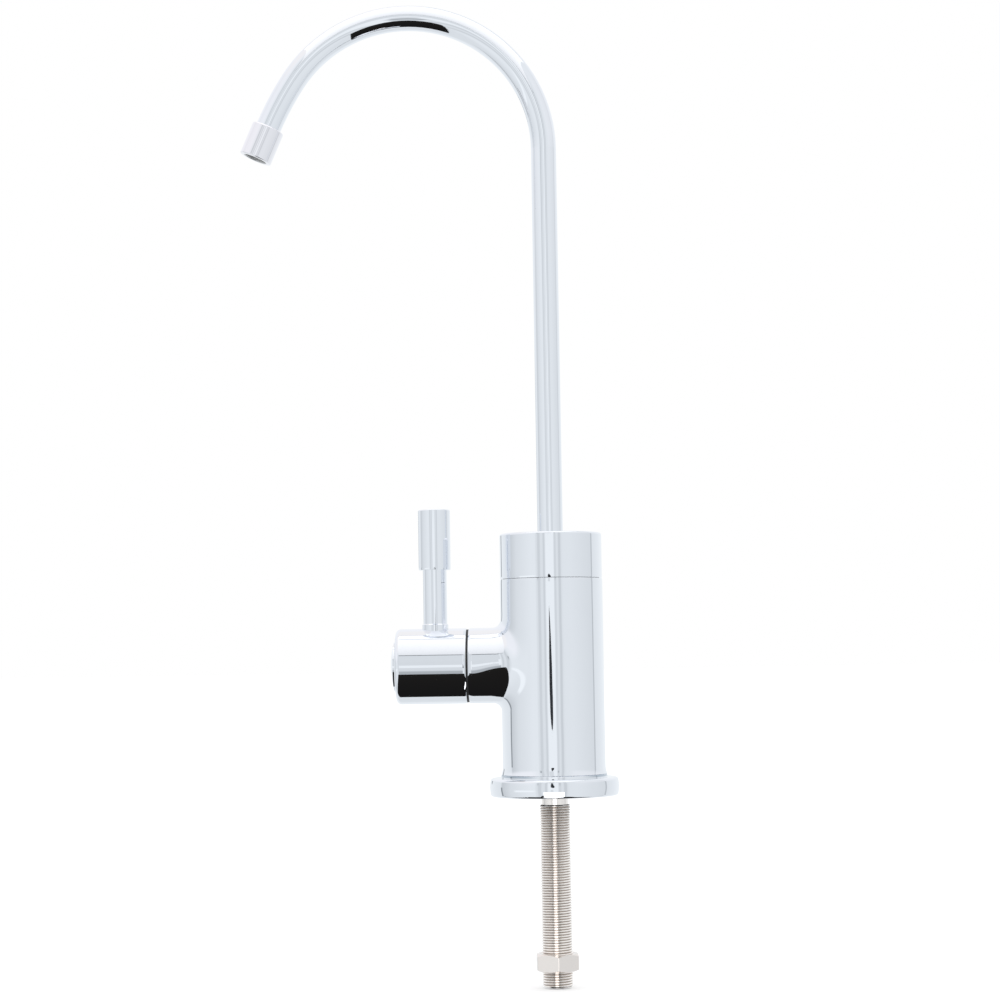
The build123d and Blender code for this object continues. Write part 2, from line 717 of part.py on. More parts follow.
# Spindle: a driving tongue, a thrust flange, a grooved journal and a splined end
with BuildPart() as spindle:
    tongue_width = drive_slot_width - 2 * seat_fit
    spindle_ring_bottom = spindle_radius - spindle_ring_depth
    with BuildSketch(valve_end.offset(drive_start)):
        Circle(drive_length / 2)
        Rectangle(drive_length, tongue_width, mode=Mode.INTERSECT)
    extrude(amount=drive_height)
    with BuildSketch(valve_end.offset(thrust_start)):
        Circle(cage_bore_radius - running_fit)
    extrude(amount=thrust_flange_thickness)
    with BuildSketch(valve_end.offset(thrust_end)):
        Circle(spindle_radius)
    extrude(amount=spindle_end - thrust_end)
    spindle_ring_width = spindle_ring_section + ring_side_room
    for place in spindle_ring_places:
        middle = shoulder + place
        ring_groove = groove(valve_end, spindle_ring_bottom, barrel_radius, middle, spindle_ring_width)
        add(ring_groove, mode=Mode.SUBTRACT)
    clip_middle = clip_start + clip_thickness / 2
    clip_bottom = spindle_radius - clip_groove_depth
    add(groove(valve_end, clip_bottom, barrel_radius, clip_middle, clip_thickness + face_play),
        mode=Mode.SUBTRACT)
    with BuildSketch(valve_end.offset(spindle_end)):
        add(spline_outline(spline_diameter / 2, spline_teeth))
    extrude(amount=spline_end - spindle_end)
    tapping_end = screw_floor - screw_length - drill_room
    add(drilling(valve_end, screw_diameter / 2 + seat_fit, tapping_end, spline_end), mode=Mode.SUBTRACT)
save(spindle, "spindle")

spindle_ring_planes = [valve_end.offset(shoulder + place) for place in spindle_ring_places]
spindle_rings = sealing_ring(spindle_ring_planes, spindle_ring_bottom, bush_bore)
save(spindle_rings, "spindle_sealing_rings")

thrust_outer = cage_bore_radius - running_fit
thrust_washer = washer(valve_end, bush_bore, thrust_outer, thrust_end, thrust_washer_thickness)
save(thrust_washer, "spindle_thrust_washer")

# Open spring clip on the spindle, just outside the bush
with BuildPart() as spindle_clip:
    clip_inner = clip_bottom + seat_fit
    with BuildSketch(valve_end.offset(clip_start)):
        Circle(clip_inner + clip_width)
        Circle(clip_inner, mode=Mode.SUBTRACT)
        with BuildLine():
            Polyline(
                (0, 0),
                (bush_neck_diameter, bush_neck_diameter * tan(radians(clip_opening / 2))),
                (bush_neck_diameter, -bush_neck_diameter * tan(radians(clip_opening / 2))),
                close=True,
            )
        make_face(mode=Mode.SUBTRACT)
    extrude(amount=clip_thickness)
save(spindle_clip, "spindle_clip")

# Glide ring: the black ring in the seam between the body's stub and the handle
glide_ring_inner = bush_flange_diameter / 2 + seat_fit
glide_ring = washer(
    valve_end, glide_ring_inner, glide_ring_inner + glide_ring_width, stub_reach, glide_ring_thickness
)
save(glide_ring, "handle_glide_ring")

# Handle barrel: hollow over the bush, splined on the spindle, recessed for the end cap
with BuildPart() as handle_barrel:
    add(polished_bar(valve_end, barrel_radius, barrel_start, barrel_end, barrel_mouth_roll))
    fillet(handle_barrel.edges().sort_by(Axis.X)[0], barrel_end_round)
    cavity_end = barrel_start + barrel_cavity_depth
    add(drilling(valve_end, barrel_cavity_diameter / 2, barrel_start, cavity_end), mode=Mode.SUBTRACT)
    add(drilling(valve_end, clip_cavity_diameter / 2, barrel_start, clip_cavity_end), mode=Mode.SUBTRACT)
    with BuildSketch(valve_end.offset(clip_cavity_end)):
        add(spline_outline(spline_diameter / 2 + seat_fit, spline_teeth))
    extrude(amount=spline_length + spline_lead, mode=Mode.SUBTRACT)
    add(drilling(valve_end, screw_diameter / 2 + seat_fit, spline_end, barrel_end), mode=Mode.SUBTRACT)
    head_room = screw_head_diameter / 2 + drill_room
    add(drilling(valve_end, head_room, screw_floor, barrel_end), mode=Mode.SUBTRACT)
    add(drilling(valve_end, cap_seat_diameter / 2, cap_floor, barrel_end), mode=Mode.SUBTRACT)
    foot_hole = foot_diameter / 2 + seat_fit
    add(drilling(lever_up, foot_hole, foot_seat, barrel_radius + overrun), mode=Mode.SUBTRACT)
    screw_hole_end = foot_seat - lever_screw_length - drill_room
    screw_hole = lever_screw_diameter / 2 + seat_fit
    add(drilling(lever_up, screw_hole, screw_hole_end, foot_seat), mode=Mode.SUBTRACT)
save(handle_barrel, "handle_barrel")

# Socket screw that draws the barrel onto the spindle
with BuildPart() as handle_screw:
    with BuildSketch(valve_end.offset(screw_floor - screw_length)):
        Circle(screw_diameter / 2)
    extrude(amount=screw_length)
    with BuildSketch(valve_end.offset(screw_floor)):
        Circle(screw_head_diameter / 2)
    extrude(amount=screw_head_height)
    with BuildSketch(valve_end.offset(screw_floor + screw_head_height)):
        RegularPolygon(screw_socket_across_flats / 2, 6, major_radius=False)
    extrude(amount=-screw_socket_depth, mode=Mode.SUBTRACT)
save(handle_screw, "handle_screw")

# End cap: a shallow domed cover with a skirt that presses into the barrel
with BuildPart() as handle_end_cap:
    cap_radius = cap_seat_diameter / 2 - seat_fit
    dome_edge = barrel_end + cap_edge_rise
    with BuildSketch(valve_side):
        with BuildLine():
            Line((barrel_end - cap_skirt, cap_radius - cap_skirt_wall), (barrel_end - cap_skirt, cap_radius))
            Line((barrel_end - cap_skirt, cap_radius), (dome_edge, cap_radius))
            dome_top = (barrel_end + cap_rise, 0)
            TangentArc(dome_top, (dome_edge, cap_radius), tangent=(0, 1))
            Line(dome_top, (barrel_end + cap_rise - cap_crown, 0))
            Line((barrel_end + cap_rise - cap_crown, 0),
                 (barrel_end + cap_rise - cap_crown, cap_radius - cap_skirt_wall))
            Line((barrel_end + cap_rise - cap_crown, cap_radius - cap_skirt_wall),
                 (barrel_end - cap_skirt, cap_radius - cap_skirt_wall))
        make_face()
    revolve(axis=valve_axis)
save(handle_end_cap, "handle_end_cap")

# Lever stem: screwed into the barrel at its foot and into the grip at its top
with BuildPart() as lever_stem:
    with BuildSketch(lever_side):
        with BuildLine():
            Polyline(
                (0, foot_seat - lever_screw_length),
                (lever_screw_diameter / 2, foot_seat - lever_screw_length),
                (lever_screw_diameter / 2, foot_seat),
                (foot_diameter / 2, foot_seat),
                (foot_diameter / 2, foot_top - foot_chamfer),
                (foot_diameter / 2 - foot_chamfer, foot_top),
                (stem_diameter / 2, foot_top),
                (stem_diameter / 2, stem_top),
                (grip_screw_diameter / 2, stem_top),
                (grip_screw_diameter / 2, stem_top + grip_screw_length),
                (0, stem_top + grip_screw_length),
                close=True,
            )
        make_face()
    revolve(axis=lever_axis)
save(lever_stem, "lever_stem")

with BuildPart() as lever_grip:
    add(polished_bar(lever_up, grip_diameter / 2, stem_top, stem_top + grip_length, grip_foot_roll))
    fillet(lever_grip.edges().sort_by(Axis.Z)[-1], grip_top_round)
    grip_hole_end = stem_top + grip_screw_length + drill_room
    add(drilling(lever_up, grip_screw_diameter / 2 + seat_fit, stem_top, grip_hole_end), mode=Mode.SUBTRACT)
save(lever_grip, "lever_grip")
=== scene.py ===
"""Looks for the drinking water filter tap: finishes, cut thread, floor, studio and camera."""
import json
from math import cos, pi, radians, sin

import bmesh
import bpy
from mathutils import Matrix, Vector


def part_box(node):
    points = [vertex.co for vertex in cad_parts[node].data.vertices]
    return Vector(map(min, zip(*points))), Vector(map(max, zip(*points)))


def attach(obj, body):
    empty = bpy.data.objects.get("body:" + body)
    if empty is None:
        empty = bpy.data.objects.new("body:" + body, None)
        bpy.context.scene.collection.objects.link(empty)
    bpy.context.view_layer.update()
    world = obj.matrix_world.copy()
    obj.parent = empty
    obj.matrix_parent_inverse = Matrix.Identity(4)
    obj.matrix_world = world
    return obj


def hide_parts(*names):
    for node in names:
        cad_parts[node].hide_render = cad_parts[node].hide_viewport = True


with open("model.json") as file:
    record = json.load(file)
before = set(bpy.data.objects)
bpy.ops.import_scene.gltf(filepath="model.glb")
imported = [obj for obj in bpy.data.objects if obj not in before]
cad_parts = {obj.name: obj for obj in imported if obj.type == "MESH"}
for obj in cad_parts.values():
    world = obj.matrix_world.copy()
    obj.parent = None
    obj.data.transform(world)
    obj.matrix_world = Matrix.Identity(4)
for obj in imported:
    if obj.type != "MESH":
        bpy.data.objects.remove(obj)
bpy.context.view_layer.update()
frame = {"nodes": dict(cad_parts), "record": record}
nodes = frame["nodes"]
MM = 0.001
scene = bpy.context.scene


# Node helpers
class Tree:
    """Adds nodes to one node tree and wires them up."""

    def __init__(self, tree):
        self.tree = tree
        self.column = 0

    def node(self, kind, inputs=None, **settings):
        made = self.tree.nodes.new(kind)
        made.location = (self.column, 0)
        self.column += 190
        for key, value in settings.items():
            setattr(made, key, value)
        for key, value in (inputs or {}).items():
            self.feed(made.inputs[key], value)
        return made

    def feed(self, socket, value):
        if isinstance(value, bpy.types.NodeSocket):
            self.tree.links.new(value, socket)
        elif hasattr(socket.default_value, "__len__") and not hasattr(value, "__len__"):
            socket.default_value = [value] * len(socket.default_value)
        elif hasattr(value, "__len__") and len(value) == 3 and len(socket.default_value) == 4:
            socket.default_value = (*value, 1)
        else:
            socket.default_value = value

    def math(self, operation, a, b=0.0, c=0.0, clamp=False):
        made = self.node("ShaderNodeMath", {0: a, 1: b, 2: c}, operation=operation, use_clamp=clamp)
        return made.outputs[0]

    def times(self, *shares):
        product = shares[0]
        for share in shares[1:]:
            product = self.math("MULTIPLY", product, share)
        return product

    def vector(self, operation, a, b=(0, 0, 0)):
        made = self.node("ShaderNodeVectorMath", {0: a, 1: b}, operation=operation)
        return made.outputs["Value" if operation == "LENGTH" else "Vector"]

    def split(self, vector):
        return self.node("ShaderNodeSeparateXYZ", {0: vector}).outputs

    def join(self, x=0.0, y=0.0, z=0.0):
        return self.node("ShaderNodeCombineXYZ", {0: x, 1: y, 2: z}).outputs[0]

    def hypotenuse(self, a, b):
        return self.math("SQRT", self.math("ADD", self.times(a, a), self.times(b, b)))

    def ramp(self, value, low, high, to_low=0.0, to_high=1.0, smooth=True):
        made = self.node("ShaderNodeMapRange", {0: value, 1: low, 2: high, 3: to_low, 4: to_high})
        made.interpolation_type = "SMOOTHSTEP" if smooth else "LINEAR"
        return made.outputs[0]

    def band(self, value, low, high, soft):
        """1 between low and high, with edges this soft."""
        up = self.ramp(value, low - soft / 2, low + soft / 2)
        down = self.ramp(value, high - soft / 2, high + soft / 2, 1.0, 0.0)
        return self.times(up, down)

    def mix(self, share, a, b, blend="MIX"):
        made = self.node("ShaderNodeMix", {0: share, 6: a, 7: b}, data_type="RGBA", blend_type=blend)
        return made.outputs[2]

    def mix_vectors(self, share, a, b):
        return self.node("ShaderNodeMix", {0: share, 4: a, 5: b}, data_type="VECTOR").outputs[1]

    def noise(self, where, scale, detail=2.0, rough=0.5, distortion=0.0):
        inputs = {"Vector": where, "Scale": scale, "Detail": detail, "Roughness": rough,
                  "Distortion": distortion}
        return self.node("ShaderNodeTexNoise", inputs).outputs["Fac"]


def srgb(*levels):
    """Light levels from screen values of 0 to 255."""
    return tuple((v / 255 / 12.92) if v <= 10 else ((v / 255 + 0.055) / 1.055) ** 2.4 for v in levels)


def group(name, inputs, outputs):
    """A node group and the tree helper inside it."""
    made = bpy.data.node_groups.new(name, "ShaderNodeTree")
    for label, kind, value in inputs:
        socket = made.interface.new_socket(label, in_out="INPUT", socket_type=kind)
        socket.default_value = value
    for label, kind in outputs:
        made.interface.new_socket(label, in_out="OUTPUT", socket_type=kind)
    tree = Tree(made)
    return made, tree, tree.node("NodeGroupInput").outputs, tree.node("NodeGroupOutput").inputs


FLOAT, COLOUR, VECTOR = "NodeSocketFloat", "NodeSocketColor", "NodeSocketVector"


# Shared effects
def make_handling():
    """Faint wiping marks and dust on a finished face: shifts its colour, roughness and height a little."""
    inputs = [("Where", VECTOR, (0, 0, 0)), ("Colour", COLOUR, (0.8, 0.8, 0.8, 1)),
              ("Roughness", FLOAT, 0.1), ("Wipe", FLOAT, 0.02), ("Tint", FLOAT, 0.03),
              ("Wave scale", FLOAT, 60.0), ("Grain", FLOAT, 0.0)]
    outputs = [("Colour", COLOUR), ("Roughness", FLOAT), ("Height", FLOAT)]
    made, t, given, result = group("handling", inputs, outputs)
    where = given["Where"]
    patches = t.noise(where, 38.0, 3.0, 0.55, 0.6)
    streaks = t.node("ShaderNodeMapping", {"Vector": where, "Scale": (420.0, 420.0, 60.0)}).outputs[0]
    wipes = t.noise(streaks, 1.0, 3.0, 0.6, 0.4)
    grain = t.noise(where, 2600.0, 2.0, 0.5)
    soiled = t.times(t.ramp(patches, 0.42, 0.72), t.ramp(wipes, 0.3, 0.8))
    rough = t.math("MULTIPLY_ADD", soiled, given["Wipe"], given["Roughness"])
    spread = t.times(given["Wipe"], 0.6)
    rough = t.math("MULTIPLY_ADD", t.math("SUBTRACT", grain, 0.5), spread, rough, True)
    darker = t.math("SUBTRACT", 1.0, t.times(soiled, given["Tint"]))
    shade = t.node("ShaderNodeCombineColor", {0: darker, 1: darker, 2: darker}).outputs[0]
    waves = t.noise(where, given["Wave scale"], 1.0, 0.4)
    t.feed(result["Colour"], t.mix(1.0, given["Colour"], shade, "MULTIPLY"))
    t.feed(result["Roughness"], rough)
    t.feed(result["Height"], t.math("MULTIPLY_ADD", grain, given["Grain"], waves))
    return made


def make_turning():
    """Fine rings left by turning about Z, as a height and as a change of roughness."""
    inputs = [("Where", VECTOR, (0, 0, 0)), ("Pitch", FLOAT, 3000.0)]
    outputs = [("Height", FLOAT), ("Streak", FLOAT)]
    made, t, given, result = group("turning marks", inputs, outputs)
    x, y, z = t.split(given["Where"])
    along = t.times(z, given["Pitch"])
    across = t.times(t.hypotenuse(x, y), given["Pitch"])
    turn = t.times(t.math("ARCTAN2", y, x), 0.6)
    rings = t.noise(t.join(across, turn, along), 1.0, 2.0, 0.6)
    t.feed(result["Height"], rings)
    t.feed(result["Streak"], t.ramp(rings, 0.3, 0.7))
    return made


handling = make_handling()
turning = make_turning()

# Corners of the boxes round three pieces, in metres
SHANK_FOOT, SHANK_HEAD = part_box("threaded_shank")
TIP_LOW, TIP_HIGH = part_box("spout_tip")
SCREEN_LOW, SCREEN_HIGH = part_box("outlet_screen")

# The shank and its thread, in millimetres
SHANK_END, SHANK_TOP = SHANK_FOOT.z / MM, SHANK_HEAD.z / MM
THREAD_TOP, NECK_TOP = -3.4, 4.0
CREST, ROOT, PITCH, BORE, NECK, FOOT = 6.0, 5.4, 1.0, 3.5, 5.2, 5.2
CHAMFER, OVERLAP, RIM_REACH = 0.4, 0.02, 0.05
TOOTH_ROUNDNESS = 0.75
FOOT_LIMIT, NECK_SLOPE, FOOT_SLOPE = 5.28, 3.0, 1.0
TURNS_BELOW, SPARE_TURNS = 1.5, 4
STEPS = 60
TOOTH_POINTS = 12
SHARP_ANGLE = radians(35)

# Where the details of single pieces begin and end, in metres
THREADED_FROM, THREADED_TO = SHANK_FOOT.z + 0.0002, THREAD_TOP * MM
CREST_EDGE, ROOT_EDGE = 0.00585, 0.00545
STUB_AXIS, STUB_RADIUS, BODY_RADIUS, BLEND = 0.0509, 0.01475, 0.0201, 0.0068
BLEND_FROM, BLEND_FULL = -0.008, -0.010
DENT_LEFT, DENT_LEFT_FULL, DENT_RIGHT_FULL, DENT_RIGHT = -0.031, -0.0185, -0.0180, -0.0155
DENT_FROM, DENT_FULL = -0.006, -0.009
DENT_LOW, DENT_HIGH, DENT_SOFT, DENT_TILT = -0.0055, 0.0005, 0.008, -0.2
BORE_RIM, BORE_INSIDE = 0.00482, 0.00472
CREASE_LOW, CREASE_HIGH = 0.0075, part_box("base_flange")[1].z + 0.0003
CREASE_MIDDLE, CREASE_FROM, CREASE_FULL = 0.003, 0.007, 0.015
EDGE_SOFT, CREASE_SOFT = 0.0001, 0.0003

# Tones of the painted shade in the thread's root, the bore and the crease, and how much rougher the bore
# is
ROOT_SHADE_TONE, BORE_SHADE_TONE, CREASE_SHADE_TONE = (0.62, 0.57, 0.53), (0.62, 0.62, 0.62), (0.42, 0.49, 0.56)
CREASE_SHADE_STRENGTH = 0.8
BORE_ROUGHER = 0.5


# Details of single pieces: each takes and returns a tone and a roughness
def root_shade(t, where, tone, rough):
    """Paints shade into the thread's root and leaves its crest and the plain ends as they are."""
    x, y, z = t.split(where)
    deep = t.ramp(t.hypotenuse(x, y), CREST_EDGE, ROOT_EDGE)
    threaded = t.band(z, THREADED_FROM, THREADED_TO, EDGE_SOFT)
    return t.mix(t.times(deep, threaded), tone, ROOT_SHADE_TONE), rough


def bore_shade(t, where, tone, rough):
    """Paints shade into the outlet housing's bore and its chamfer, and makes them rougher."""
    middle = (TIP_LOW + TIP_HIGH) / 2
    along = ((SCREEN_LOW + SCREEN_HIGH) / 2 - middle).normalized()
    across = t.vector("CROSS_PRODUCT", t.vector("SUBTRACT", where, tuple(middle)), tuple(along))
    inside = t.ramp(t.vector("LENGTH", across), BORE_RIM, BORE_INSIDE)
    return t.mix(inside, tone, BORE_SHADE_TONE), t.math("MULTIPLY_ADD", inside, BORE_ROUGHER, rough, True)


def crease_shade(t, where, tone, rough):
    """Paints shade into the crease between flange and body at both sides."""
    x, _, z = t.split(where)
    off_middle = t.math("ABSOLUTE", t.math("SUBTRACT", x, CREASE_MIDDLE))
    aside = t.ramp(off_middle, CREASE_FROM, CREASE_FULL)
    shaded_crease = t.times(t.band(z, CREASE_LOW, CREASE_HIGH, CREASE_SOFT), aside)
    return t.mix(t.times(shaded_crease, CREASE_SHADE_STRENGTH), tone, CREASE_SHADE_TONE), rough


def blend_normal(t, where):
    """Turns the stub's facing gently into the body's where the two meet, with a slight dent in front."""
    x, y, z = t.split(where)
    above_axis = t.math("SUBTRACT", z, STUB_AXIS)
    from_stub = t.join(0.0, y, above_axis)
    from_body = t.join(x, y)
    over_stub = t.math("SUBTRACT", t.vector("LENGTH", from_stub), STUB_RADIUS)
    over_body = t.math("SUBTRACT", t.vector("LENGTH", from_body), BODY_RADIUS)
    share = t.ramp(t.math("SUBTRACT", over_body, over_stub), -BLEND, BLEND)
    mixed = t.mix_vectors(share, t.vector("NORMALIZE", from_body), t.vector("NORMALIZE", from_stub))
    between = t.ramp(t.math("ABSOLUTE", t.math("SUBTRACT", share, 0.5)), 0.49, 0.5, 1.0, 0.0)
    near = t.times(t.ramp(x, BLEND_FROM, BLEND_FULL), between)
    own = t.node("ShaderNodeNewGeometry").outputs["Normal"]
    way = t.mix_vectors(near, own, mixed)
    beside_body = t.times(t.ramp(x, DENT_LEFT, DENT_LEFT_FULL), t.ramp(x, DENT_RIGHT, DENT_RIGHT_FULL))
    in_front = t.ramp(y, DENT_FROM, DENT_FULL)
    level_with_axis = t.band(above_axis, DENT_LOW, DENT_HIGH, DENT_SOFT)
    dent = t.times(beside_body, in_front, level_with_axis, DENT_TILT)
    return t.vector("NORMALIZE", t.vector("ADD", way, t.join(0.0, 0.0, dent)))


# Finishes
def finish(name, colour, roughness, metallic=0.0, wipe=0.02, tint=0.03, waves=(60.0, 0.00002), grain=0.0,
           turned=0.0, speck=0.0, detail=None, facing=None):
    """A material from the shared effects. Waves are how many to a metre and how high in metres.

    A detail changes tone and roughness in places, and a facing turns the shading.
    """
    material = bpy.data.materials.new(name)
    material.use_nodes = True
    t = Tree(material.node_tree)
    shader = material.node_tree.nodes["Principled BSDF"]
    where = t.node("ShaderNodeTexCoord").outputs["Object"]
    marks = t.node("ShaderNodeGroup", node_tree=handling)
    given = {"Where": where, "Colour": colour, "Roughness": roughness, "Wipe": wipe, "Tint": tint,
             "Wave scale": waves[0], "Grain": grain}
    for key, value in given.items():
        t.feed(marks.inputs[key], value)
    rough, tone, height = marks.outputs["Roughness"], marks.outputs["Colour"], marks.outputs["Height"]
    if speck:
        fine = t.noise(where, 5200.0, 1.0, 0.4)
        tone = t.mix(t.times(t.ramp(fine, 0.55, 0.75), speck), tone, (0.5, 0.5, 0.5))
    if turned:
        rings = t.node("ShaderNodeGroup", node_tree=turning)
        t.feed(rings.inputs["Where"], where)
        streak = t.math("SUBTRACT", rings.outputs["Streak"], 0.5)
        rough = t.math("MULTIPLY_ADD", streak, 0.1 * turned, rough, True)
        height = t.math("MULTIPLY_ADD", rings.outputs["Height"], turned, height)
    if detail:
        tone, rough = detail(t, where, tone, rough)
    t.feed(shader.inputs["Base Color"], tone)
    t.feed(shader.inputs["Roughness"], rough)
    shader.inputs["Metallic"].default_value = metallic
    raised = t.node("ShaderNodeBump", {"Height": height, "Strength": 1.0, "Distance": waves[1]})
    if facing:
        t.feed(raised.inputs["Normal"], facing(t, where))
    t.feed(shader.inputs["Normal"], raised.outputs[0])
    return material


CHROME = (0.87, 0.89, 0.93)
NICKEL = (0.86, 0.80, 0.76)


def polished(name, colour=CHROME, wipe=0.03, tint=0.015, waves=(70.0, 0.00003), **more):
    """Mirror chrome, with hardly any wiping marks."""
    return finish(name, colour, 0.03, 1.0, wipe=wipe, tint=tint, waves=waves, **more)


finishes = {
    "chrome": polished("polished chrome"),
    "chrome_casting": polished("polished chrome casting", wipe=0.035, tint=0.02, waves=(55.0, 0.00011),
                               facing=blend_normal),
    "chrome_tube": polished("polished chrome tube", waves=(90.0, 0.00002)),
    # The crease between flange and body gets painted shade.
    "chrome_flange": polished("polished chrome flange", detail=crease_shade),
    # The outlet's bore gets painted shade.
    "chrome_tip": polished("polished chrome outlet", (0.895, 0.885, 0.92), detail=bore_shade),
    "nickel": finish("satin nickel", NICKEL, 0.2, 1.0, wipe=0.05, tint=0.05, waves=(300.0, 0.000006),
                     grain=0.6),
    # The thread's roots get painted shade.
    "thread": finish("satin nickel thread", (0.97, 0.92, 0.88), 0.14, 1.0, wipe=0.08, tint=0.1,
                     waves=(500.0, 0.000004), detail=root_shade),
    "brass": finish("machined brass", (0.78, 0.62, 0.34), 0.22, 1.0, wipe=0.08, tint=0.12,
                    waves=(300.0, 0.000005), turned=0.8),
    "rubber": finish("sealing rubber", (0.03, 0.03, 0.032), 0.55, wipe=0.15, tint=0.2,
                     waves=(400.0, 0.00002), grain=0.4, speck=0.02),
    "ceramic": finish("lapped alumina", (0.88, 0.86, 0.82), 0.18, wipe=0.1, tint=0.05,
                      waves=(300.0, 0.000004), speck=0.12),
    "white_plastic": finish("natural low-friction plastic", (0.86, 0.87, 0.88), 0.38, wipe=0.1, tint=0.05,
                            waves=(200.0, 0.00001), grain=0.3),
    "black_plastic": finish("black low-friction plastic", (0.018, 0.018, 0.019), 0.55, wipe=0.12, tint=0.1,
                            waves=(200.0, 0.00001), grain=0.3, speck=0.02),
    "grey_plastic": finish("grey moulded plastic", (0.32, 0.33, 0.34), 0.4, wipe=0.12, tint=0.08,
                           waves=(200.0, 0.00001), grain=0.3),
    "steel": finish("stainless steel", (0.62, 0.62, 0.61), 0.24, 1.0, wipe=0.08, tint=0.06,
                    waves=(300.0, 0.000005), turned=0.4),
}
slot_of = {part["node"]: part["material_slot"] for part in frame["record"]["subparts"]}
special = {"valve_body": "chrome_casting", "spout_tube": "chrome_tube", "spout_tip": "chrome_tip",
           "base_flange": "chrome_flange"}
for name, thing in nodes.items():
    for slot in thing.material_slots:
        slot.material = finishes[special.get(name, slot_of[name])]


# The cut thread on the shank
def new_piece(name, mesh_data, look):
    """An object at the origin from a bmesh, with its finish."""
    mesh = bpy.data.meshes.new(name)
    mesh_data.normal_update()
    mesh_data.to_mesh(mesh)
    mesh_data.free()
    mesh.shade_smooth()
    mesh.set_sharp_from_angle(angle=SHARP_ANGLE)
    thing = bpy.data.objects.new(name, mesh)
    scene.collection.objects.link(thing)
    mesh.materials.append(finishes[look])
    return thing


def turned_profile(work, points):
    """Spins a line of (radius, height) points in mm round Z."""
    line = [work.verts.new((r * MM, 0, z * MM)) for r, z in points]
    edges = [work.edges.new(pair) for pair in zip(line, line[1:])]
    bmesh.ops.spin(work, geom=line + edges, cent=(0, 0, 0), axis=(0, 0, 1), dvec=(0, 0, 0), angle=2 * pi,
                   steps=STEPS, use_merge=True, use_normal_flip=False, use_duplicate=False)


def add_helix(work):
    """One rounded tooth wound up the shank, past both ends of the thread."""
    tooth = [(ROOT + (CREST - ROOT) * sin(pi * i / TOOTH_POINTS) ** TOOTH_ROUNDNESS, i / TOOTH_POINTS)
             for i in range(TOOTH_POINTS)]
    turns = int((THREAD_TOP - SHANK_END) / PITCH) + SPARE_TURNS
    start = SHANK_END - TURNS_BELOW * PITCH
    rows = []
    for step in range(turns * STEPS + 1):
        angle = 2 * pi * step / STEPS
        lift = start + PITCH * step / STEPS
        rows.append([work.verts.new((r * MM * cos(angle), r * MM * sin(angle), (z * PITCH + lift) * MM))
                     for r, z in tooth])
    for step in range((turns - 1) * STEPS):
        here = rows[step] + rows[step + STEPS][:1]
        there = rows[step + 1] + rows[step + 1 + STEPS][:1]
        for i in range(TOOTH_POINTS):
            work.faces.new((here[i], there[i], there[i + 1], here[i + 1]))
    for vert in [v for v in work.verts if not v.link_faces]:
        work.verts.remove(vert)


def trim_helix(work, low, high):
    """Cuts the thread off at both ends and lets it run out into the neck and the foot's chamfer."""
    for height, side in ((low, -1), (high, 1)):
        bmesh.ops.bisect_plane(work, geom=work.verts[:] + work.edges[:] + work.faces[:], dist=0.0000005,
                               plane_co=(0, 0, height * MM), plane_no=(0, 0, side), clear_outer=True)
    for vert in work.verts:
        x, y, z = vert.co / MM
        radius = (x * x + y * y) ** 0.5
        at_neck = NECK + OVERLAP + (high - z) * NECK_SLOPE
        at_foot = FOOT_LIMIT + (z - low) * FOOT_SLOPE
        limit = min(at_neck, at_foot)
        if radius > limit:
            vert.co.x *= limit / radius
            vert.co.y *= limit / radius


def make_shank():
    """The turned shank with its thread, closed into one surface in place of the plain one."""
    work = bmesh.new()
    low, high = SHANK_END + OVERLAP, THREAD_TOP - OVERLAP
    add_helix(work)
    trim_helix(work, low, high)
    turned_profile(work, [
        (NECK, THREAD_TOP), (NECK, NECK_TOP - CHAMFER),
        (CREST - CHAMFER, NECK_TOP), (CREST, NECK_TOP + CHAMFER),
        (CREST, SHANK_TOP - CHAMFER), (CREST - CHAMFER, SHANK_TOP), (BORE + CHAMFER, SHANK_TOP),
        (BORE, SHANK_TOP - CHAMFER), (BORE, SHANK_END + CHAMFER), (BORE + CHAMFER, SHANK_END),
        (FOOT, SHANK_END)])
    for height in (high, low):
        rims = [e for e in work.edges if e.is_boundary
                and all(abs(v.co.z / MM - height) < RIM_REACH for v in e.verts)]
        bmesh.ops.bridge_loops(work, edges=rims)
    bmesh.ops.recalc_face_normals(work, faces=work.faces[:])
    bmesh.ops.triangulate(work, faces=[f for f in work.faces if len(f.verts) > 4])
    print("shank open edges", sum(1 for e in work.edges if not e.is_manifold), "faces", len(work.faces))
    piece = new_piece("cut_shank_thread", work, "thread")
    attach(piece, "tap_body")
    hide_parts("threaded_shank")


make_shank()

# Floor
FLOOR = SHANK_FOOT.z - 0.0005
FLOOR_HALF = 30.0
FLOOR_GLOW = 0.3


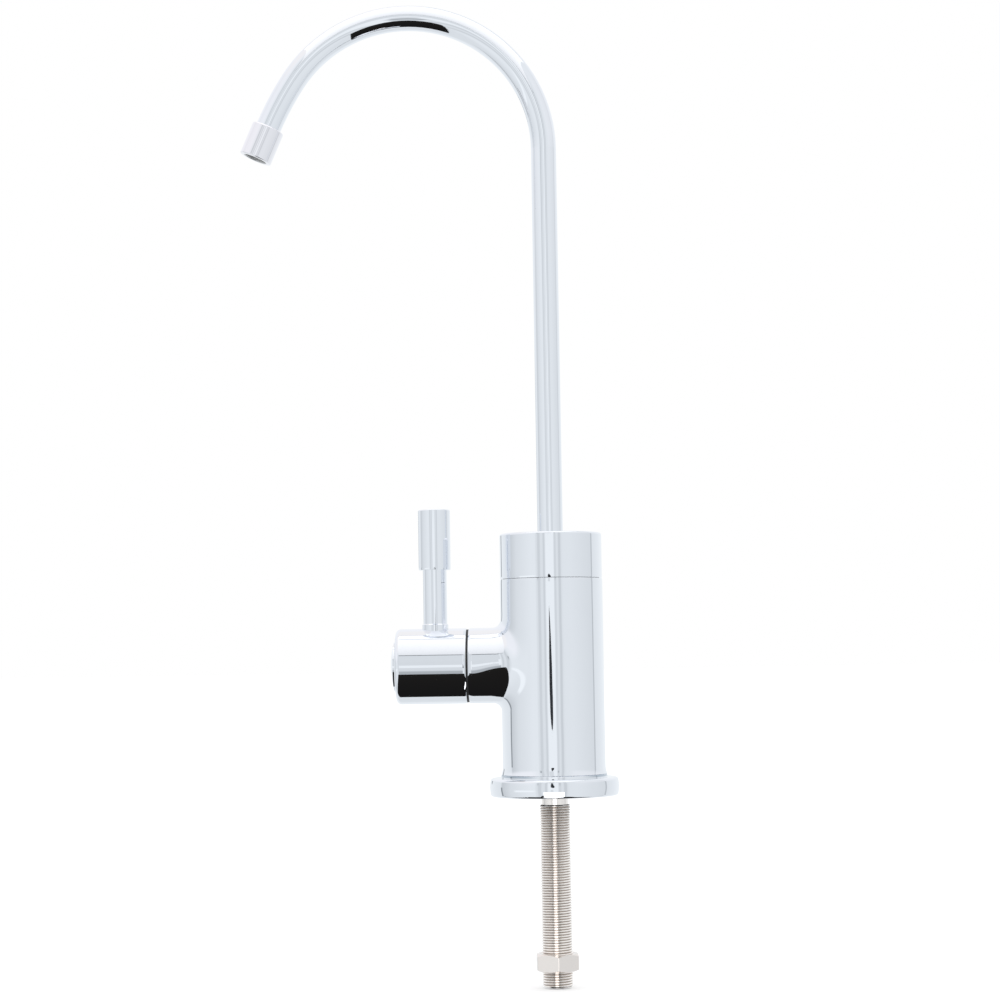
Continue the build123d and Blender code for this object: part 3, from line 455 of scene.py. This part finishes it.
def make_floor():
    """A pale floor under the shank that takes shadow and shows white to the camera."""
    mesh = bpy.data.meshes.new("floor")
    work = bmesh.new()
    bmesh.ops.create_grid(work, x_segments=1, y_segments=1, size=FLOOR_HALF,
                          matrix=Matrix.Translation((0, 0, FLOOR)))
    work.to_mesh(mesh)
    work.free()
    floor = bpy.data.objects.new("floor", mesh)
    scene.collection.objects.link(floor)
    material = bpy.data.materials.new("pale floor")
    material.use_nodes = True
    material.node_tree.nodes.clear()
    t = Tree(material.node_tree)
    path = t.node("ShaderNodeLightPath").outputs
    looked_at = t.math("MAXIMUM", path["Is Camera Ray"], path["Is Glossy Ray"])
    looked_at = t.math("MAXIMUM", looked_at, path["Is Transmission Ray"])
    where = t.node("ShaderNodeTexCoord").outputs["Object"]
    tone = t.mix(t.ramp(t.noise(where, 4.0), 0.3, 0.7), (0.80, 0.80, 0.80), (0.82, 0.82, 0.82))
    matt = t.node("ShaderNodeBsdfDiffuse", {"Color": tone}).outputs[0]
    strength = t.times(looked_at, FLOOR_GLOW)
    glow = t.node("ShaderNodeEmission", {"Color": (1, 1, 1), "Strength": strength}).outputs[0]
    both = t.node("ShaderNodeAddShader", {0: matt, 1: glow}).outputs[0]
    t.node("ShaderNodeOutputMaterial", {0: both})
    mesh.materials.append(material)
    floor.visible_glossy = False


# Studio walls, in degrees round from the camera's side and degrees up, and in screen brightness
def level(*screen):
    """The light that chrome shows as these screen values."""
    return tuple(light / tint for light, tint in zip(srgb(*screen), CHROME))


def cool(screen):
    """A slightly blue wall this bright on screen."""
    return level(screen - 6, screen, screen + 7)


# Each stripe in front: from, to, softness and brightness
FRONT_STRIPES = [
    (-33, 27, 4.0, 223),
    (-29, -23, 3.0, 209),
    (-16.5, -12.5, 2.0, 209),
    (-11, 7.5, 3.0, 238),
    (8, 12.5, 2.0, 213),
    (17.5, 23, 3.0, 206),
]
ABOVE_WHITE = (1, 1, 1.03)


def paint_walls(t, turn, rise):
    """The walls' light, painted stripe over stripe."""

    def around(low, high, soft=2.0):
        return t.band(turn, low, high, soft)

    # Plain walls behind, at the left, in front and at the right
    wall = t.mix(t.ramp(turn, -150, -112, smooth=False), cool(236), cool(226))
    left = t.mix(t.ramp(turn, -104, -84, smooth=False), cool(203), cool(220))
    left = t.mix(t.ramp(turn, -84, -45, smooth=False), left, cool(231))
    wall = t.mix(around(-109, -33, 4.0), wall, left)
    for low, high, soft, brightness in FRONT_STRIPES:
        wall = t.mix(around(low, high, soft), wall, cool(brightness))
    right = t.mix(t.ramp(turn, 45, 99, smooth=False), cool(227), cool(218))
    wall = t.mix(around(27, 200, 6.0), wall, right)
    far_right = t.mix(t.ramp(turn, 108, 150, smooth=False), cool(225), cool(237))
    wall = t.mix(t.ramp(turn, 103, 107), wall, far_right)
    wall = t.mix(around(103.5, 107.5), wall, cool(190))

    # A dark post low at the left, and one farther back that stands higher
    wall = t.mix(t.times(around(-110, -106), t.ramp(rise, 0.6, -1.6)), wall, cool(140))
    wall = t.mix(t.times(around(-152, -147, 3.0), t.band(rise, 0.1, 7.5, 1.4)), wall, cool(130))

    # Higher up the sides are brighter, with two thin dark lines, and low on the left there is a pale patch
    upper = t.ramp(rise, 6, 20)
    wall = t.mix(t.times(upper, t.ramp(turn, -28, -55, 0.0, 0.75)), wall, ABOVE_WHITE)
    wall = t.mix(t.times(upper, t.ramp(turn, 28, 55, 0.0, 0.4)), wall, ABOVE_WHITE)
    lines = t.times(upper, t.ramp(rise, 24, 16))
    wall = t.mix(t.times(lines, around(-31, -28, 1.5)), wall, cool(150))
    wall = t.mix(t.times(lines, around(8.5, 11.5, 1.5)), wall, cool(165))
    wall = t.mix(t.times(t.band(rise, -9.5, -5, 2.0), around(-75, -35, 10.0)), wall, cool(243))

    # Straight in front a strip is darker above and below the camera's height
    off_height = t.math("MAXIMUM", t.ramp(rise, 3.3, 4.3), t.ramp(rise, -3, -4))
    wall = t.mix(t.times(around(-6.2, -1.8, 0.8), off_height), wall, cool(217))

    # Around that strip the front darkens high and low, with a dark rail above and a grey one below
    ahead = around(-10, 0)
    wall = t.mix(t.times(ahead, t.ramp(rise, 13, 16)), wall, cool(218))
    wall = t.mix(t.times(ahead, t.ramp(rise, -9, -12)), wall, cool(214))
    wall = t.mix(t.times(ahead, t.band(rise, 33.5, 37.0, 1.5)), wall, cool(110))
    wall = t.mix(t.times(ahead, t.band(rise, -26, -14, 4.0)), wall, cool(176))

    # Overhead and underfoot, outside the softbox and the dark board
    overhead = t.mix(t.ramp(turn, -20, -40), cool(233), level(240, 240, 244))
    underfoot = t.mix(t.ramp(rise, -60, -85), cool(222), cool(232))
    wall = t.mix(t.ramp(rise, 36, 50), wall, overhead)
    return t.mix(t.ramp(rise, -30, -50), wall, underfoot)


def make_studio():
    """The world: plain light for matt faces, white behind, and the studio's walls for shiny ones."""
    world = bpy.data.worlds.new("studio")
    scene.world = world
    world.use_nodes = True
    world.cycles.sampling_method = "NONE"
    world.node_tree.nodes.clear()
    t = Tree(world.node_tree)
    x, y, z = t.split(t.node("ShaderNodeTexCoord").outputs["Generated"])
    degrees = 180 / pi
    turn = t.times(t.math("ARCTAN2", x, t.times(y, -1.0)), degrees)
    rise = t.times(t.math("ARCSINE", z), degrees)
    path = t.node("ShaderNodeLightPath").outputs
    plain = t.mix(t.ramp(z, -0.6, 0.8), (0.80, 0.80, 0.80), (1.12, 1.12, 1.13))
    seen = t.mix(path["Is Glossy Ray"], plain, paint_walls(t, turn, rise))
    backdrop = t.math("MAXIMUM", path["Is Camera Ray"], path["Is Transmission Ray"])
    seen = t.mix(backdrop, seen, (1, 1, 1))
    glow = t.node("ShaderNodeBackground", {"Color": seen, "Strength": 1.0}).outputs[0]
    t.node("ShaderNodeOutputWorld", {0: glow})


# Cards that only reflections show
def make_card(name, outline, near_tone, far_tone, near_y=-1.0, far_y=0.0):
    """A flat glowing or dark card, shading from near_y to far_y."""
    mesh = bpy.data.meshes.new(name)
    work = bmesh.new()
    work.faces.new([work.verts.new(corner) for corner in outline])
    work.to_mesh(mesh)
    work.free()
    card = bpy.data.objects.new(name, mesh)
    scene.collection.objects.link(card)
    material = bpy.data.materials.new(name)
    material.use_nodes = True
    material.node_tree.nodes.clear()
    t = Tree(material.node_tree)
    depth = t.split(t.node("ShaderNodeTexCoord").outputs["Object"])[1]
    tone = t.mix(t.ramp(depth, near_y, far_y, smooth=False), near_tone, far_tone)
    glow = t.node("ShaderNodeEmission", {"Color": tone, "Strength": 1.0}).outputs[0]
    t.node("ShaderNodeOutputMaterial", {0: glow})
    mesh.materials.append(material)
    for flag in ("visible_camera", "visible_diffuse", "visible_shadow", "visible_transmission"):
        setattr(card, flag, False)


def level_card(name, left, right, near, far, height, near_tone, far_tone):
    """A card lying level at a height."""
    outline = [(left, near, height), (right, near, height), (right, far, height), (left, far, height)]
    make_card(name, outline, near_tone, far_tone, near, far)


def upright_card(name, left, right, low, high, y, tone):
    """A card standing across the view at y."""
    outline = [(left, y, low), (right, y, low), (right, y, high), (left, y, high)]
    make_card(name, outline, tone, tone)


def make_camera_shape():
    """The dark camera in front of the tap: a leaning drop, widest below its middle."""
    points = 24
    distance, middle, breadth, top, foot, lean = -0.30, -0.0155, 0.019, 0.081, 0.016, 0.011
    top_breadth, wider_below = 0.35, 0.9
    outline = []
    for point in range(points):
        angle = 2 * pi * point / points
        share = (1 - cos(angle)) / 2
        height = top + (foot - top) * share
        aside = breadth * sin(angle) * (top_breadth + wider_below * share)
        outline.append((middle + aside + lean * (share - 0.5), distance, height))
    dark = (0.035, 0.037, 0.042)
    make_card("camera_shape", outline, dark, dark)


def make_cards():
    """A softbox overhead with dark rails, a dark board below, the camera's shape and two small cards."""
    left, right, near, far, height = -0.37, 0.30, -0.855, 0.207, 0.65
    rail = 0.018
    dark_grey, mid_grey = level(90, 95, 104), level(150, 156, 166)
    level_card("softbox", left, right, near, far, height, level(226, 230, 237), (1.3, 1.3, 1.3))
    level_card("near_rail", left, right, near - rail, near, height, dark_grey, dark_grey)
    level_card("far_rail", left, right, far, far + rail * 0.6, height, mid_grey, mid_grey)
    level_card("dark_board", -0.40, 0.265, -0.98, 0.11, -0.365, level(30, 29, 28), level(22, 22, 23))
    make_camera_shape()
    # The upper card lights the flange's lower edge and the neck, the lower one the thread
    in_front, bright = -0.05, (1.9, 1.9, 1.9)
    upright_card("low_card", -0.0126, 0.0126, -0.030, -0.0024, in_front, bright)
    upright_card("thread_card", -0.0175, 0.006, -0.12, -0.0302, in_front, bright)


# Camera, with its place in metres, its angles in radians and its focal length in pixels
CAMERA_PLACE = Vector((0.01183, -0.900, 0.05224))
YAW, TILT, ROLL = -0.0348, 0.07049, -0.016
FOCAL_PIXELS, PICTURE_PIXELS, SENSOR_MM = 2293, 1000, 36.0


def make_camera():
    ahead = Vector((sin(YAW) * cos(TILT), cos(YAW) * cos(TILT), sin(TILT)))
    right = Vector((cos(YAW), -sin(YAW), 0))
    upward = right.cross(ahead)
    across = cos(ROLL) * right + sin(ROLL) * upward
    upright = cos(ROLL) * upward - sin(ROLL) * right
    data = bpy.data.cameras.new("camera")
    data.sensor_fit = "HORIZONTAL"
    data.sensor_width = SENSOR_MM
    data.lens = FOCAL_PIXELS * SENSOR_MM / PICTURE_PIXELS
    data.clip_start = 0.01
    data.clip_end = 100.0
    camera = bpy.data.objects.new("camera", data)
    turned = Matrix((across, upright, -ahead)).transposed().to_4x4()
    camera.matrix_world = Matrix.Translation(CAMERA_PLACE) @ turned
    scene.collection.objects.link(camera)
    scene.camera = camera


scene.view_settings.view_transform = "Standard"
make_floor()
make_studio()
make_cards()
make_camera()
